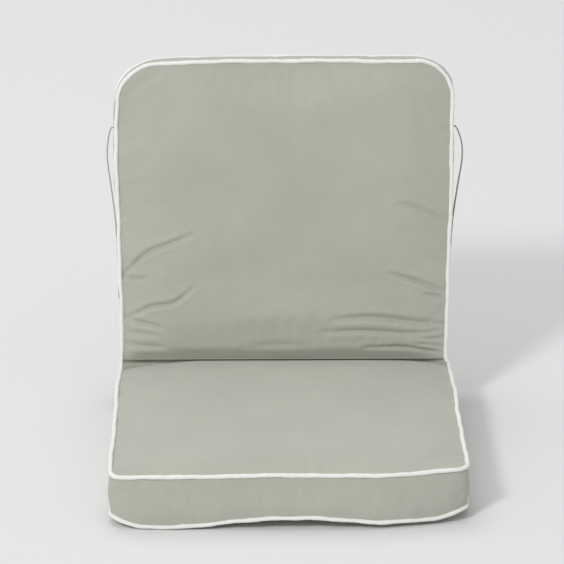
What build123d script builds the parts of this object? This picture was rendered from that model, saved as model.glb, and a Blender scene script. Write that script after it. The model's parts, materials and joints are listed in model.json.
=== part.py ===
from build123d import *
import math
import os

# Folding seat-and-back cushion for a low-back garden chair. Two piped box cushions share one
# seam, the fold. Millimetres, +Z up, front towards -Y, origin at the centre of the seat's flat
# underside. Each half is drawn on its own plane, whose origin is the middle of the fold line,
# whose x runs along the fold, y runs away from the fold and z points out of the sitting face.

# ---- driving dimensions ----
WIDTH = 500.0            # outside the piping
SEAT_DEPTH = 490.0       # fold to front piping
BACK_HEIGHT = 450.0      # fold to top piping
THICKNESS = 75.0         # piping to piping
SEAT_CORNER = 30.0       # front corners, in plan
BACK_CORNER = 58.0       # top corners
FOLD_CORNER = 20.0       # corners of the full piping loop beside the fold
RECLINE = 15.0           # back from vertical, degrees

PIPE_R = 3.0             # covered piping bead
CORD_R = 2.2             # filler cord inside the bead
FLANGE = 7.0             # piping tape sewn into the seam
FLANGE_T = 0.8
CLOTH = 1.0              # cover fabric with its backing
BAND_INSET = 2.0         # boxing stands this far inside the piping
BEAD_GAP = 0.05          # cloth edge to bead
FOLD_GAP = 2.0           # panel edge to fold line
LOOP_GAP = 1.0           # full piping loop to fold plane
GUSSET_FACE = 3.0        # zipped gusset to fold plane
SEAM_R = 1.2             # rolled fold seam

WADDING = 10.0           # fibre layer on each face of the foam
WADDING_INSET = 12.0
FOAM_FOLD_GAP = 7.0      # room behind the zip slider

ZIP_LENGTH = 400.0
SEAT_ZIP_DROP = 47.0     # zip centre below the seat's top face
BACK_ZIP_DROP = 28.0     # zip centre behind the back's front face
ZIP_SLOT = 4.5           # half the slot that the zip shows in
TAPE_WIDTH = 12.0
TAPE_T = 0.6
COIL_NEAR, COIL_FAR = 0.5, 2.8      # coil, measured from the zip's centre line
COIL_TOP = 0.6
COIL_ROUND = 0.7
TAPE_TAIL = 8.0          # tape past each end of the coil
STOP_SIZE = (3.0, 5.2, 1.8)
STOP_OUT = 2.2           # stop's middle past the end of the coil
STOP_SINK = 0.1

SLIDER_LENGTH = 12.0
SLIDER_HALF = 3.8
SLIDER_REST = ZIP_LENGTH / 2 - 8
PLATE_T = 1.0
PLATE_GAP = 0.3          # plate to tape or coil
PLATE_ROUND = 1.6
WALL_T = 0.5             # slider's side walls and wedge
WALL_INSET = 0.3
WEDGE_LENGTH = 4.0
EAR_SIZE = (2.6, 0.8, 2.8)
EAR_OUT = 3.0            # ear's middle to the zip's centre line
PIN_R = 0.6
PIN_LENGTH = 6.2
PIN_LIFT = 3.25          # pull pin above the gusset's outer face
PULL_LENGTH = 20.0
PULL_WIDTH = 5.0
PULL_T = 1.2
EYE_R = 1.25
EYE_GAP = 0.05           # eye to pin
THUMB_R = 1.5            # hole near the pull's end
THUMB_INSET = 4.0

TIE_WIDTH = 12.0
TIE_T = 2.0
TIE_DROP = 105.0         # seam end of the tie below the back's top
TIE_LENGTH = 256.0
TIE_BOW = 11.0           # how far the tie stands out from the side
TIE_GAP = 0.1            # tie to boxing
TIE_RISE = 0.5           # tie's rear edge to the rear piping
TIE_SHOULDER = 16.0      # first bend below the seam end
TIE_SHOULDER_IN = 3.0    # first bend inside the furthest bow
TIE_REACH = 60.0         # furthest bow below the seam end
TIE_BENDS = (20, 160)    # radii of the two bends

LABEL_SIZE = (30.0, 24.0, 0.4)
LABEL_SIDE = 32.0        # label's middle to the side
LABEL_DROP = 17.0        # label's middle past the zip slot
FOAM_GAP = 0.1           # foam to cover
FLANGE_TRIM = 0.4        # flange end to the edge of the seam
FOLD_SEAM_END = 7.0      # fold seam's end to the side

# ---- planes of the two halves ----
lean = math.radians(RECLINE)
fold_point = (0, SEAT_DEPTH / 2, THICKNESS)
seat_plane = Plane(origin=fold_point, x_dir=(-1, 0, 0), z_dir=(0, 0, 1))
back_plane = Plane(origin=fold_point, x_dir=(1, 0, 0), z_dir=(0, -math.cos(lean), math.sin(lean)))
band_edge = 2 * PIPE_R + BEAD_GAP
cloth_edge = PIPE_R + math.sqrt(PIPE_R**2 - (PIPE_R - CLOTH) ** 2) + BEAD_GAP
gusset_half = WIDTH / 2 - FOLD_CORNER / 2


def save(part, name):
    """Label a finished piece and write its STEP file."""
    part.label = name
    export_step(part, f"parts/{name}.step")


def cushion_outline(length, corner, inset, fold_side, fold_corner=1.0):
    """Outline of one half's face, with its larger corners at the free end."""
    half = WIDTH / 2 - inset
    far = length - inset
    with BuildLine() as outline:
        FilletPolyline(
            (-half, fold_side), (-half, far), (half, far), (half, fold_side),
            radius=[fold_corner, corner - inset, corner - inset, fold_corner], close=True,
        )
    return outline.edges()


def slab(plane, length, corner, inset, fold_side, depths, fold_corner=1.0):
    """Flat filling or panel between two depths below the sitting face."""
    top, bottom = depths
    with BuildPart() as piece:
        with BuildSketch(plane.offset(-bottom)):
            make_face(cushion_outline(length, corner, inset, fold_side, fold_corner))
        extrude(amount=bottom - top)
    return piece.part


def boxing_band(plane, length, corner):
    """One strip round the two sides and the free end."""
    with BuildPart() as piece:
        with BuildSketch(plane.offset(-(THICKNESS - band_edge))):
            make_face(cushion_outline(length, corner, BAND_INSET, GUSSET_FACE, CLOTH + 1))
            make_face(
                cushion_outline(length, corner, BAND_INSET + CLOTH, GUSSET_FACE + CLOTH),
                mode=Mode.SUBTRACT,
            )
            with Locations((0, GUSSET_FACE)):
                Rectangle(2 * gusset_half, 4 * CLOTH, mode=Mode.SUBTRACT)
        extrude(amount=THICKNESS - 2 * band_edge)
    return piece.part


def gusset_strip(plane, top, bottom):
    """Flat strip of the gusset at the fold end."""
    with BuildPart() as piece:
        with BuildSketch(plane.offset(-bottom)):
            with Locations((0, GUSSET_FACE + CLOTH / 2)):
                Rectangle(2 * (gusset_half - BEAD_GAP), CLOTH)
        extrude(amount=bottom - top)
    return piece.part


def piping_path(plane, length, corner, closed):
    """Centre line of a bead: round three sides, or all the way round."""
    half = WIDTH / 2 - PIPE_R
    far = length - PIPE_R
    free_r = corner - PIPE_R
    fold_r = FOLD_CORNER - PIPE_R
    with BuildLine(plane) as path:
        if closed:
            near = LOOP_GAP + PIPE_R
            FilletPolyline(
                (-half, near), (-half, far), (half, far), (half, near),
                radius=[fold_r, free_r, free_r, fold_r], close=True,
            )
        else:
            near = GUSSET_FACE + CLOTH + BEAD_GAP
            FilletPolyline(
                (-half, near), (-half, far), (half, far), (half, near), radius=free_r
            )
    return path.wires()[0]


def start_plane(path, plane):
    """Plane across the start of a bead: x points inwards, y away from the sitting face."""
    along = path % 0
    return Plane(origin=path @ 0, x_dir=along.cross(plane.z_dir), z_dir=along)


def piping_sleeve(plane, path, inward):
    """Fabric sleeve of the piping with its sewing flange, set at 45 degrees into the seam."""
    across = start_plane(path, plane)
    with BuildPart() as piece:
        with BuildSketch(across):
            Circle(PIPE_R)
            reach = (PIPE_R + FLANGE - FLANGE_TRIM) / 2
            shift = reach / math.sqrt(2)
            with Locations(Location((shift, inward * shift), 45 * inward)):
                Rectangle(2 * reach, FLANGE_T)
            Circle(CORD_R, mode=Mode.SUBTRACT)
        sweep(path=path)
    return piece.part


def piping_cord(plane, path):
    """Filler cord inside the sleeve."""
    with BuildPart() as piece:
        with BuildSketch(start_plane(path, plane)):
            Circle(CORD_R)
        sweep(path=path)
    return piece.part


def zip_plane(plane, drop):
    """Plane on the gusset's outer face: x along the zip, z out of the gusset."""
    centre = plane.from_local_coords((0, GUSSET_FACE, -drop))
    return Plane(origin=centre, x_dir=plane.x_dir, z_dir=-plane.y_dir)


def zip_stringer(plane, side):
    """One tape with its coil; side is +1 or -1."""
    coil_mid = (COIL_NEAR + COIL_FAR) / 2
    tape_mid = (COIL_NEAR + TAPE_WIDTH) / 2
    with BuildPart(plane) as piece:
        with Locations((0, side * tape_mid, -CLOTH - TAPE_T / 2)):
            Box(ZIP_LENGTH + 2 * TAPE_TAIL, TAPE_WIDTH - COIL_NEAR, TAPE_T)
        with Locations((0, side * coil_mid, (COIL_TOP - CLOTH) / 2)):
            Box(ZIP_LENGTH, COIL_FAR - COIL_NEAR, COIL_TOP + CLOTH)
        along = piece.edges().filter_by(Axis(plane.origin, plane.x_dir))
        fillet(along.group_by(Axis(plane.origin, plane.z_dir))[-1], COIL_ROUND)
    return piece.part


def zip_slider(plane):
    """Two plates round the coils, a thin wedge between them and a pin for the pull."""
    under = -CLOTH - TAPE_T - PLATE_GAP - PLATE_T / 2
    over = COIL_TOP + PLATE_GAP + PLATE_T / 2
    ear_height = EAR_SIZE[2] / 2
    with BuildPart(plane) as piece:
        for height in (under, over):
            with Locations((SLIDER_REST, 0, height)):
                Box(SLIDER_LENGTH, 2 * SLIDER_HALF, PLATE_T)
        corners = piece.edges().filter_by(Axis(plane.origin, plane.z_dir))
        fillet(corners, PLATE_ROUND)
        with Locations((SLIDER_REST, 0, (under + over) / 2)):
            Box(WEDGE_LENGTH, WALL_T, over - under)
        for side in (-1, 1):
            with Locations((SLIDER_REST, side * (SLIDER_HALF - WALL_INSET), over - PLATE_T)):
                Box(SLIDER_LENGTH - WEDGE_LENGTH, WALL_T, PLATE_T)
            with Locations((SLIDER_REST, side * EAR_OUT, over + ear_height)):
                Box(*EAR_SIZE)
        with Locations(Location((SLIDER_REST, 0, PIN_LIFT), (90, 0, 0))):
            Cylinder(PIN_R, PIN_LENGTH)
    return piece.part


def zip_pull(plane):
    """Pull tab with an eye round the slider's pin and a thumb hole."""
    with BuildPart(plane) as piece:
        with Locations(Location((SLIDER_REST, 0, PIN_LIFT), (90, 0, 0))):
            Cylinder(EYE_R, PULL_WIDTH)
        with Locations((SLIDER_REST - PULL_LENGTH / 2, 0, PIN_LIFT)):
            Box(PULL_LENGTH, PULL_WIDTH, PULL_T)
        with Locations((SLIDER_REST - PULL_LENGTH + THUMB_INSET, 0, PIN_LIFT)):
            Cylinder(THUMB_R, 2 * PULL_T, mode=Mode.SUBTRACT)
        with Locations(Location((SLIDER_REST, 0, PIN_LIFT), (90, 0, 0))):
            Cylinder(PIN_R + EYE_GAP, 2 * PULL_WIDTH, mode=Mode.SUBTRACT)
    return piece.part


def zip_stops(plane):
    """Clip across the tapes at each end of the coils."""
    out = ZIP_LENGTH / 2 + STOP_OUT
    with BuildPart(plane) as piece:
        with Locations((-out, 0, -STOP_SINK), (out, 0, -STOP_SINK)):
            Box(*STOP_SIZE)
    return piece.part


def tie(side):
    """Flat tie sewn into the rear side seam: it bows out and hangs beside the cushion."""
    seam = side * (WIDTH / 2 - BAND_INSET + TIE_T / 2 + TIE_GAP)
    bow = side * (WIDTH / 2 + TIE_BOW)
    edge = side * (WIDTH / 2 + TIE_T)
    top = BACK_HEIGHT - TIE_DROP
    middle = THICKNESS - 2 * PIPE_R - TIE_WIDTH / 2 - TIE_RISE
    with BuildPart() as piece:
        with BuildSketch(back_plane.offset(-middle)):
            with BuildLine():
                FilletPolyline(
                    (seam, top), (bow - side * TIE_SHOULDER_IN, top - TIE_SHOULDER),
                    (bow, top - TIE_REACH), (edge, top - TIE_LENGTH),
                    radius=TIE_BENDS,
                )
                offset(amount=TIE_T / 2)
            make_face()
        extrude(amount=TIE_WIDTH / 2, both=True)
    return piece.part


os.makedirs("parts", exist_ok=True)

halves = {
    "seat": (seat_plane, SEAT_DEPTH, SEAT_CORNER, SEAT_ZIP_DROP, ("top", "bottom")),
    "back": (back_plane, BACK_HEIGHT, BACK_CORNER, BACK_ZIP_DROP, ("front", "rear")),
}

for half, (plane, length, corner, drop, (face, underside)) in halves.items():
    # cover
    skin = (0, CLOTH)
    far_skin = (THICKNESS - CLOTH, THICKNESS)
    round_end = FOLD_CORNER - cloth_edge
    save(slab(plane, length, corner, cloth_edge, FOLD_GAP, skin), f"{half}_{face}_panel")
    save(
        slab(plane, length, corner, cloth_edge, LOOP_GAP + cloth_edge, far_skin, round_end),
        f"{half}_{underside}_panel",
    )
    save(boxing_band(plane, length, corner), f"{half}_boxing")
    save(gusset_strip(plane, CLOTH + BEAD_GAP, drop - ZIP_SLOT), f"{half}_gusset_fold_strip")
    save(gusset_strip(plane, drop + ZIP_SLOT, THICKNESS - band_edge), f"{half}_gusset_{underside}_strip")

    # piping
    open_path = piping_path(plane.offset(-PIPE_R), length, corner, closed=False)
    loop_path = piping_path(plane.offset(PIPE_R - THICKNESS), length, corner, closed=True)
    save(piping_sleeve(plane, open_path, 1), f"{half}_{face}_piping")
    save(piping_cord(plane, open_path), f"{half}_{face}_piping_cord")
    save(piping_sleeve(plane, loop_path, -1), f"{half}_{underside}_piping")
    save(piping_cord(plane, loop_path), f"{half}_{underside}_piping_cord")

    # filling
    foam_inset = BAND_INSET + CLOTH + FOAM_GAP
    pad_top = CLOTH + WADDING
    pad_bottom = THICKNESS - pad_top
    core = (pad_top, pad_bottom)
    save(slab(plane, length, corner, foam_inset, FOAM_FOLD_GAP, core), f"{half}_foam_core")
    for depths, name in (((CLOTH, pad_top), face), ((pad_bottom, THICKNESS - CLOTH), underside)):
        pad = slab(plane, length, corner, WADDING_INSET, WADDING_INSET + 1, depths, WADDING_INSET)
        save(pad, f"{half}_{name}_wadding")

    # zip
    zipper = zip_plane(plane, drop)
    save(zip_stringer(zipper, 1), f"{half}_zip_{face}_tape")
    save(zip_stringer(zipper, -1), f"{half}_zip_{underside}_tape")
    save(zip_slider(zipper), f"{half}_zip_slider")
    save(zip_pull(zipper), f"{half}_zip_pull")
    save(zip_stops(zipper), f"{half}_zip_stops")

# rolled and stitched seam that is the fold
with BuildPart(Plane(origin=fold_point, x_dir=(-1, 0, 0), z_dir=(0, 0, 1))) as fold_seam:
    with Locations(Location((0, 0, 0), (0, 90, 0))):
        Cylinder(SEAM_R, WIDTH - 2 * FOLD_SEAM_END)
    with Locations((0, FOLD_GAP / 2, -CLOTH / 2)):
        Box(WIDTH - 2 * FOLD_SEAM_END, FOLD_GAP, CLOTH)
save(fold_seam.part, "fold_seam")

# blank care label sewn flat to the seat's gusset
with BuildPart(zip_plane(seat_plane, SEAT_ZIP_DROP)) as care_label:
    with Locations((WIDTH / 2 - LABEL_SIDE, ZIP_SLOT + LABEL_DROP, LABEL_SIZE[2] / 2)):
        Box(*LABEL_SIZE)
save(care_label.part, "care_label")

for side, name in ((-1, "left"), (1, "right")):
    save(tie(side), f"back_{name}_tie")
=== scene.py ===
import json
import math

import bmesh
import bpy
import numpy as np
from bpy.props import FloatProperty, FloatVectorProperty, PointerProperty
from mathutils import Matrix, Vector


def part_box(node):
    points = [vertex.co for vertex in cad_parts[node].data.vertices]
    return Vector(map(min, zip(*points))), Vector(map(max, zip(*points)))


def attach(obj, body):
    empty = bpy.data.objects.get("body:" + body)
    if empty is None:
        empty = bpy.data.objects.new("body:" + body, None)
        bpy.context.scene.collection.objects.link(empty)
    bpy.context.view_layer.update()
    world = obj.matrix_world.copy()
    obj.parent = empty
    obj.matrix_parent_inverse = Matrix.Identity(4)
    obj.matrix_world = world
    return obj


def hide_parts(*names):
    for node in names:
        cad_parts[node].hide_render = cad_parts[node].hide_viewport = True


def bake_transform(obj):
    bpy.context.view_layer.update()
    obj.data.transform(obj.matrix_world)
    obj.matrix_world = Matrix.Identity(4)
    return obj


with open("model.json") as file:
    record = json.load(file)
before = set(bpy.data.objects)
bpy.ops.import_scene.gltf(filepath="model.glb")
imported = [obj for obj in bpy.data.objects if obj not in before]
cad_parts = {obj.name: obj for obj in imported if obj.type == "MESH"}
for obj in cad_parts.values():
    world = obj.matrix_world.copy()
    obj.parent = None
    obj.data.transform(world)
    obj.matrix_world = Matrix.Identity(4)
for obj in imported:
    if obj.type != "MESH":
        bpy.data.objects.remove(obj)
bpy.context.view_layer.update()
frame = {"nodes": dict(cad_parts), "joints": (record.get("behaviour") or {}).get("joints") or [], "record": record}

# Folding seat-and-back chair cushion: two piped box cushions that share one sewn fold.
# Each half is described by three numbers: u across, v away from the fold over the sitting face,
# and w out of that face, all in metres. Half.place turns them into the shared frame.

bl_info = {
    "name": "Folding piped cushion",
    "version": (1, 0, 0),
    "blender": (4, 5, 0),
    "location": "View3D > Sidebar > Cushion",
    "description": "Makes the cloth, piping, filling, ties and stage of a folding chair cushion",
    "category": "Object",
}

MM = 0.001
LOOK_CLOTH = "#B2B4A8"                          # sage grey cover cloth


# ---------------------------------------------------------------- sizes read from the frame
def mount_axis(name):
    return Vector(next(m["axis"] for m in frame["record"]["mounts"] if m["name"] == name))


FOLD = Vector(next(j["pos_m"] for j in frame["joints"] if j["name"] == "back_fold"))
BEAD = 3 * MM                                   # piping radius, covered
SEAT_LOW, SEAT_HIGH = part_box("seat_top_piping")
WIDTH = SEAT_HIGH.x - SEAT_LOW.x
SEAT_DEPTH = FOLD.y - SEAT_LOW.y
THICK = FOLD.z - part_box("seat_bottom_piping")[0].z
REAR = mount_axis("back_rest_face")             # out of the back's rear face
UP_BACK = Vector((0, -REAR.z, REAR.y))
BACK_LENGTH = (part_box("back_front_piping")[1].z - FOLD.z - BEAD + BEAD * UP_BACK.y) / UP_BACK.z + BEAD
HALF_W = WIDTH / 2
SEAM_BEHIND = 8 * MM                            # the fold seam lies this far behind the fold's axis
SEAM_BELOW = 6 * MM                             # and this far below it


class Half:
    """One half of the cushion: its axes, length and the radius of its free corners."""

    def __init__(self, name, away, out, length, corner, body):
        self.name, self.away, self.out = name, away, out
        self.length, self.corner, self.body = length, corner, body

    def place(self, cut):
        """Points in the shared frame for an array of (u, v, w)."""
        cut = np.asarray(cut, float).reshape(-1, 3)
        return (
            np.array(FOLD)
            + cut[:, :1] * np.array((1.0, 0.0, 0.0))
            + cut[:, 1:2] * np.array(self.away)
            + cut[:, 2:] * np.array(self.out)
        )


SEAT = Half("seat", Vector((0, -1, 0)), Vector((0, 0, 1)), SEAT_DEPTH, 22 * MM, "seat")
BACK = Half("back", UP_BACK, -REAR, BACK_LENGTH, 56 * MM, "back")


def bump(x, centre, spread):
    return np.exp(-(((x - centre) / spread) ** 2))


def ramp(x, start, end):
    t = np.clip((x - start) / (end - start), 0, 1)
    return t * t * (3 - 2 * t)


def fold_sag(u):
    """The fold hangs lower towards its two ends."""
    left = ramp(-u, 0.50 * HALF_W, 1.0 * HALF_W)
    right = ramp(u, 0.72 * HALF_W, 1.0 * HALF_W)
    return 8 * MM * left + 3.5 * MM * right


def fold_tuck(u, v, pull, reach=13 * MM):
    """The seam pulls both panels in between the two cores, less so at the piping."""
    return pull * (1 - ramp(np.abs(u), 0.86 * HALF_W, HALF_W)) * (1 - ramp(v, 0, reach))


def near_face(w):
    """Share of the fold's moves at a depth: all at the sitting face, none from the zip tapes back."""
    return 1 - ramp(-w, 4 * MM, 14 * MM)


def warp_seat(cut):
    """How the filled seat differs from its pattern: waist at the fold, arched front hem, swept corner."""
    u, v, w = cut[:, 0].copy(), cut[:, 1].copy(), cut[:, 2].copy()
    low = ramp(-w, 0.2 * THICK, THICK)
    front = ramp(v, 0.62 * SEAT_DEPTH, SEAT_DEPTH)
    side = np.abs(u) / HALF_W
    waist = 5 * MM * (1 - ramp(v, 0, 0.35 * SEAT_DEPTH))
    tuck = 2.5 * MM * bump(v, 0.45 * SEAT_DEPTH, 0.25 * SEAT_DEPTH)
    out = cut.copy()
    out[:, 0] = u * (1 - (waist + tuck) / HALF_W)
    corner_up = ramp(side, 0.80, 1.0)
    arch = 14.5 * MM * bump(u, 5 * MM, 115 * MM) + 5 * MM * ramp(u, 60 * MM, 190 * MM)
    foot = arch + 11 * MM * corner_up
    out[:, 2] += front * (low * foot + (1 - low) * 3 * MM * bump(u, 0, 150 * MM))
    out[:, 1] -= ramp(v, 0.8 * SEAT_DEPTH, SEAT_DEPTH) * (1 - low) * 10 * MM
    sweep = ramp(u, 0.45 * HALF_W, HALF_W)
    out[:, 2] += front * (1 - low) * 3 * MM * sweep
    out[:, 1] -= front * (20 * MM * sweep + 3 * MM * ramp(-u, 0.6 * HALF_W, HALF_W))
    out[:, 1] -= front * low * 8 * MM * corner_up
    out[:, 2] -= (fold_sag(u) * (1 - ramp(v, 0, 55 * MM)) + fold_tuck(u, v, SEAM_BELOW)) * (1 - low)
    out[:, 1] -= fold_tuck(u, v, SEAM_BEHIND, 40 * MM) * near_face(w)
    return out


def warp_back(cut):
    """The back narrows towards the fold and its top edge bows a little."""
    u, v, w = cut[:, 0].copy(), cut[:, 1].copy(), cut[:, 2].copy()
    share = v / BACK_LENGTH
    waist = 9 * MM * (1 - ramp(share, 0, 0.72))
    out = cut.copy()
    sag = fold_sag(u) * (1 - ramp(v, 0, 70 * MM)) + fold_tuck(u, v, SEAM_BELOW)
    sag *= near_face(w)
    out[:, 1] -= sag * UP_BACK.z
    out[:, 2] -= sag * UP_BACK.y
    behind = fold_tuck(u, v, SEAM_BEHIND, 24 * MM) * near_face(w)
    out[:, 1] += behind * UP_BACK.y
    out[:, 2] -= behind * UP_BACK.z
    out[:, 0] = u * (1 - waist / HALF_W) - 2 * MM * ramp(share, 0.5, 0) * (u < 0)
    deep = ramp(-w, 0, THICK)
    top = ramp(share, 0.6, 1.0)
    out[:, 0] += np.sign(u) * ramp(np.abs(u), 0.5 * HALF_W, HALF_W) * ramp(share, 0.25, 0.8) * deep * 3 * MM
    bow = 2 * MM * bump(u, 15 * MM, 150 * MM) - 1.5 * MM * ramp(-u, 0.3 * HALF_W, HALF_W)
    out[:, 1] += top * (bow - 6.5 * MM + 5.5 * MM * deep)
    near_top = ramp(v, BACK_LENGTH - 0.4 * HALF_W, BACK_LENGTH)
    slack = near_top * (1.5 * MM * ramp(u, 0.6 * HALF_W, HALF_W) - 4.5 * MM * ramp(-u, 0.6 * HALF_W, HALF_W))
    out[:, 0] += slack * np.sign(u)
    out[:, 1] += slack
    return out


SEAT.warp, BACK.warp = warp_seat, warp_back


# ---------------------------------------------------------------- small helpers
def linear(code):
    """Linear colour of an sRGB hex value."""
    parts = [int(code[i:i + 2], 16) / 255 for i in (1, 3, 5)]
    return tuple(c / 12.92 if c <= 0.04045 else ((c + 0.055) / 1.055) ** 2.4 for c in parts) + (1.0,)


def deselect():
    if bpy.context.object and bpy.context.object.mode != "OBJECT":
        bpy.ops.object.mode_set(mode="OBJECT")
    bpy.ops.object.select_all(action="DESELECT")


def activate(obj):
    deselect()
    obj.select_set(True)
    bpy.context.view_layer.objects.active = obj


def apply_modifier(obj, kind, **settings):
    """Add a modifier, set it and apply it."""
    modifier = obj.modifiers.new(kind.title(), kind)
    for key, value in settings.items():
        setattr(modifier, key, value)
    activate(obj)
    bpy.ops.object.modifier_apply(modifier=modifier.name)


def new_object(name, verts, faces, smooth=True):
    mesh = bpy.data.meshes.new(name)
    mesh.from_pydata([tuple(v) for v in verts], [], faces)
    mesh.validate()
    if smooth:
        mesh.shade_smooth()
    obj = bpy.data.objects.new(name, mesh)
    bpy.context.scene.collection.objects.link(obj)
    return obj


def coords(obj):
    co = np.empty(len(obj.data.vertices) * 3)
    obj.data.vertices.foreach_get("co", co)
    return co.reshape(-1, 3)


def set_coords(obj, co):
    obj.data.vertices.foreach_set("co", np.ascontiguousarray(co, float).ravel())
    obj.data.update()


def normals(obj):
    no = np.empty(len(obj.data.vertices) * 3)
    obj.data.vertex_normals.foreach_get("vector", no)
    return no.reshape(-1, 3)


def outward(obj, merge=False):
    """Turn all faces of a closed mesh outwards. Merging first changes the order of the vertices."""
    work = bmesh.new()
    work.from_mesh(obj.data)
    if merge:
        bmesh.ops.remove_doubles(work, verts=work.verts, dist=1e-6)
    bmesh.ops.recalc_face_normals(work, faces=work.faces)
    work.to_mesh(obj.data)
    work.free()


# ---------------------------------------------------------------- materials
def material(name):
    made = bpy.data.materials.new(name)
    made.use_nodes = True
    shader = made.node_tree.nodes["Principled BSDF"]
    return made, made.node_tree, shader


def node(tree, kind, settings=None, links=None, **inputs):
    """Add a node, set its properties and inputs, and link its inputs to other nodes' outputs."""
    made = tree.nodes.new(kind)
    for key, value in (settings or {}).items():
        setattr(made, key, value)
    for key, value in inputs.items():
        made.inputs[key.replace("_", " ")].default_value = value
    for key, source in (links or {}).items():
        tree.links.new(source, made.inputs[key])
    return made


def combine(tree, operation, a, b, last=1):
    """Arithmetic on two nodes' first outputs."""
    return node(tree, "ShaderNodeMath", {"operation": operation}, {0: a.outputs[0], last: b.outputs[0]})


def remap(tree, source, from_low, from_high, to_low, to_high):
    return node(tree, "ShaderNodeMapRange", links={"Value": source.outputs[0]},
                From_Min=from_low, From_Max=from_high, To_Min=to_low, To_Max=to_high)


def weave(tree, shader, colour, thread, slub=0.05, relief=0.25, depth=0.0004, blotch=0.04, cut=True):
    """Plain weave on the piece's own cut, or on its upright faces, with slubs, blotches and relief."""
    where = node(tree, "ShaderNodeTexCoord")
    if cut:
        lay = node(tree, "ShaderNodeUVMap", {"uv_map": "cut"}).outputs[0]
    else:
        lay = where.outputs["Object"]
    parts = node(tree, "ShaderNodeSeparateXYZ", links={0: lay})
    waves = []
    for axis in (0, 1 if cut else 2):
        turn = node(tree, "ShaderNodeMath", {"operation": "MULTIPLY"}, {0: parts.outputs[axis]})
        turn.inputs[1].default_value = math.pi / thread
        waves.append(node(tree, "ShaderNodeMath", {"operation": "SINE"}, {0: turn.outputs[0]}))
    over = combine(tree, "MULTIPLY", waves[0], waves[1])
    slubs = []
    for stretch in ((60, 900, 1), (900, 60, 1)):
        lie = node(tree, "ShaderNodeMapping", links={"Vector": lay}, Scale=stretch)
        slubs.append(node(tree, "ShaderNodeTexNoise", links={"Vector": lie.outputs[0]},
                          Scale=1.0, Detail=2.0))
    slub_sum = combine(tree, "ADD", slubs[0], slubs[1])
    cloud = node(tree, "ShaderNodeTexNoise", links={"Vector": where.outputs["Object"]},
                 Scale=9.0, Detail=4.0, Roughness=0.6)
    tint = remap(tree, slub_sum, 0.6, 1.4, 1 - slub, 1 + slub)
    shade = remap(tree, cloud, 0.3, 0.7, 1 - blotch, 1 + blotch)
    gap = remap(tree, over, -1.0, 1.0, 0.965, 1.02)
    every = combine(tree, "MULTIPLY", combine(tree, "MULTIPLY", tint, shade), gap)
    dye = node(tree, "ShaderNodeVectorMath", {"operation": "SCALE"}, {"Scale": every.outputs[0]})
    dye.inputs[0].default_value = linear(colour)[:3]
    tree.links.new(dye.outputs[0], shader.inputs["Base Color"])
    height = combine(tree, "MULTIPLY_ADD", slub_sum, over, last=2)
    height.inputs[1].default_value = 1.2
    lift = node(tree, "ShaderNodeBump", links={"Height": height.outputs[0]}, Strength=relief, Distance=depth)
    tree.links.new(lift.outputs[0], shader.inputs["Normal"])
    return lift


def set_shader(shader, **values):
    for key, value in values.items():
        shader.inputs[key.replace("_", " ")].default_value = value


def canvas(name, cut):
    """Solution-dyed acrylic canvas, plain weave: matt, with a faint fuzz at grazing angles.
    Real threads are about 0.5 mm; they are drawn 1.4 mm wide so that they show at all."""
    made, tree, shader = material(name)
    weave(tree, shader, LOOK_CLOTH, 1.4 * MM, cut=cut)
    set_shader(shader, Roughness=0.92, Specular_IOR_Level=0.22, Sheen_Weight=0.18, Sheen_Roughness=0.6)
    return made


def piping_cloth():
    """White cotton-look bias strip pulled round a cord: matt, with fine cross wrinkles."""
    made, tree, shader = material("cotton_bias_strip_white")
    weave(tree, shader, "#F1F2EE", 1.0 * MM, slub=0.02, relief=0.35, blotch=0.02)
    set_shader(shader, Roughness=0.85, Specular_IOR_Level=0.25, Sheen_Weight=0.1, Sheen_Roughness=0.5)
    return made


def plain_textile(name, colour, grain, roughness=0.9, relief=0.4, depth=0.0006):
    """Textile or foam with an even grain, scaled by its real cell or fibre size."""
    made, tree, shader = material(name)
    where = node(tree, "ShaderNodeTexCoord")
    grains = node(tree, "ShaderNodeTexNoise", links={"Vector": where.outputs["Object"]},
                  Scale=1 / grain, Detail=3.0, Roughness=0.65)
    base = linear(colour)[:3]
    tone = node(tree, "ShaderNodeMix", {"data_type": "RGBA"}, {"Factor": grains.outputs[0]})
    tone.inputs[6].default_value = tuple(c * 0.86 for c in base) + (1,)
    tone.inputs[7].default_value = tuple(min(1, c * 1.08) for c in base) + (1,)
    tree.links.new(tone.outputs[2], shader.inputs["Base Color"])
    lift = node(tree, "ShaderNodeBump", links={"Height": grains.outputs[0]}, Strength=relief, Distance=depth)
    tree.links.new(lift.outputs[0], shader.inputs["Normal"])
    set_shader(shader, Roughness=roughness, Specular_IOR_Level=0.3)
    return made


def nickel():
    """Nickel-plated zinc die casting: bright, slightly warm, tumbled so the gloss is soft."""
    made, tree, shader = material("nickel_plated_zinc")
    where = node(tree, "ShaderNodeTexCoord")
    scuffs = node(tree, "ShaderNodeTexNoise", links={"Vector": where.outputs["Object"]},
                  Scale=600.0, Detail=3.0)
    gloss = node(tree, "ShaderNodeMapRange", links={"Value": scuffs.outputs[0]}, To_Min=0.22, To_Max=0.42)
    tree.links.new(gloss.outputs[0], shader.inputs["Roughness"])
    set_shader(shader, Base_Color=linear("#C9C6BF"), Metallic=1.0)
    return made


def zip_tape():
    """Woven polyester zip tape and nylon coil, dyed to the cover: ribbed along the zip."""
    made, tree, shader = material("polyester_zip_tape")
    where = node(tree, "ShaderNodeTexCoord")
    rib = 1.4 * MM
    ribs = node(tree, "ShaderNodeTexWave", {"bands_direction": "X"}, {"Vector": where.outputs["Object"]},
                Scale=math.pi / (10 * rib))
    lift = node(tree, "ShaderNodeBump", links={"Height": ribs.outputs[1]}, Strength=0.6, Distance=0.0004)
    tree.links.new(lift.outputs[0], shader.inputs["Normal"])
    set_shader(shader, Base_Color=linear("#9FA196"), Roughness=0.6, Specular_IOR_Level=0.4)
    return made


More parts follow.
